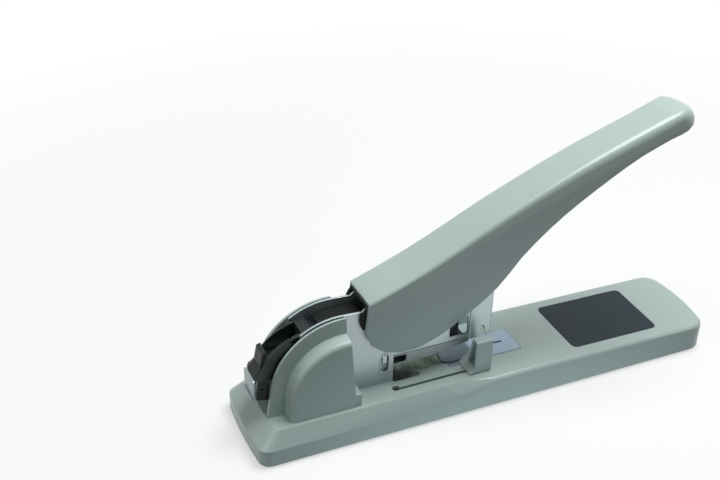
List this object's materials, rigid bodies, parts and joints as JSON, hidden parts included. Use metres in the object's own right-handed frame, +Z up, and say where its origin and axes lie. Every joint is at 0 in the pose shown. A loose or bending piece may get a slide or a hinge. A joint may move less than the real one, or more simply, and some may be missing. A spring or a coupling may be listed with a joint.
{
  "type": "stapler",
  "caption": "Heavy-duty desk stapler with a long raised press lever, tilting magazine arm over an anvil, rear loading drawer with pusher, sliding paper stop and weighted low base",
  "frame": {"origin": "Under the middle of the base, on the surface it stands on", "axes": "+X from the loading end to the free end where the paper goes in, +Y to the left seen from the loading end, +Z up"},
  "size_m": [0.2874, 0.0586, 0.1557],
  "materials": {
    "gray_enamel": "semi-gloss light gray enamel on pressed steel",
    "gray_plastic": "satin light gray moulding, matched to the enamel",
    "nickel_steel": "bright nickel plating with fine brushed grain",
    "bright_steel": "zinc-plated",
    "zinc_steel": "zinc-plated sheet",
    "blued_steel": "bluish hardened steel, satin",
    "spring_steel": "drawn wire",
    "black_steel": "black oxide and black paint, satin",
    "charcoal_plastic": "fine-grained charcoal moulding",
    "guide_plastic": "satin light gray moulding, matched to the enamel",
    "slate_plate": "bare dark slate plate",
    "black_rubber": "matt black rubber",
    "nylon": "natural nylon"
  },
  "bodies": {
    "base": {"base_shell": "gray_enamel", "base_plate": "zinc_steel", "base_plate_screw_1": "bright_steel", "base_plate_screw_2": "bright_steel", "base_plate_screw_3": "bright_steel", "base_plate_screw_4": "bright_steel", "rubber_sole": "black_rubber", "anvil_plate": "blued_steel", "guide_rack": "black_steel", "label_plate": "slate_plate", "frame": "nickel_steel", "frame_screw_1": "bright_steel", "frame_screw_2": "bright_steel", "cover_screw_1": "bright_steel", "cover_screw_2": "bright_steel", "cover_screw_3": "bright_steel", "cover_screw_4": "bright_steel", "top_guard": "black_steel", "side_cover_left": "gray_plastic", "side_cover_right": "gray_plastic", "arm_pivot_rivet_left": "bright_steel", "arm_pivot_rivet_right": "bright_steel", "handle_pivot_pin": "bright_steel", "pivot_washer_left": "nylon", "pivot_washer_right": "nylon", "spring_seat": "bright_steel", "return_spring": "spring_steel"},
    "arm": {"magazine_channel": "nickel_steel", "staple_tray": "nickel_steel", "driver_housing": "nickel_steel"},
    "drawer": {"drawer_cap": "charcoal_plastic", "drawer_end_plate": "nickel_steel", "guide_rod": "spring_steel", "pusher_spring": "spring_steel"},
    "pusher": {"pusher_block": "charcoal_plastic"},
    "driver": {"driver_carriage": "bright_steel", "driver_blade": "bright_steel", "blade_rivet_1": "bright_steel", "blade_rivet_2": "bright_steel"},
    "lever": {"handle_shell": "gray_enamel", "inner_lever": "black_steel", "lever_spacer_1": "bright_steel", "lever_spacer_2": "bright_steel", "driver_pin": "bright_steel"},
    "guide": {"paper_guide": "guide_plastic", "detent_leaf": "blued_steel", "guide_clip": "charcoal_plastic"}
  },
  "joints": [
    {"name": "lever_hinge", "type": "hinge", "parent": "base", "child": "lever", "pos_m": [-0.06775, 0, 0.066], "axis": [0, 1, 0], "range_deg": [0, 25], "stiffness_Nm_per_rad": 1.2, "springref_deg": -34.38},
    {"name": "arm_hinge", "type": "hinge", "parent": "base", "child": "arm", "pos_m": [-0.10775, 0, 0.036], "axis": [0, 1, 0], "range_deg": [0, 6.64], "stiffness_Nm_per_rad": 1, "springref_deg": -28.65, "deforming": ["return_spring"]},
    {"name": "driver_slide", "type": "slide", "parent": "arm", "child": "driver", "axis": [0, 0, -1], "range_m": [0, 0.01707]},
    {"name": "drawer_slide", "type": "slide", "parent": "arm", "child": "drawer", "axis": [-1, 0, 0], "range_m": [0, 0.09]},
    {"name": "pusher_slide", "type": "slide", "parent": "drawer", "child": "pusher", "axis": [-1, 0, 0], "range_m": [0, 0.064], "stiffness_N_per_m": 40, "springref_m": -0.08, "deforming": ["pusher_spring"]},
    {"name": "guide_slide", "type": "slide", "parent": "base", "child": "guide", "axis": [-1, 0, 0], "range_m": [0, 0.04]}
  ],
  "couplings": [
    {"joint": "arm_hinge", "follows": "lever_hinge", "ratio": 0.2656},
    {"joint": "driver_slide", "follows": "lever_hinge", "m_per_rad": 0.03912}
  ]
}
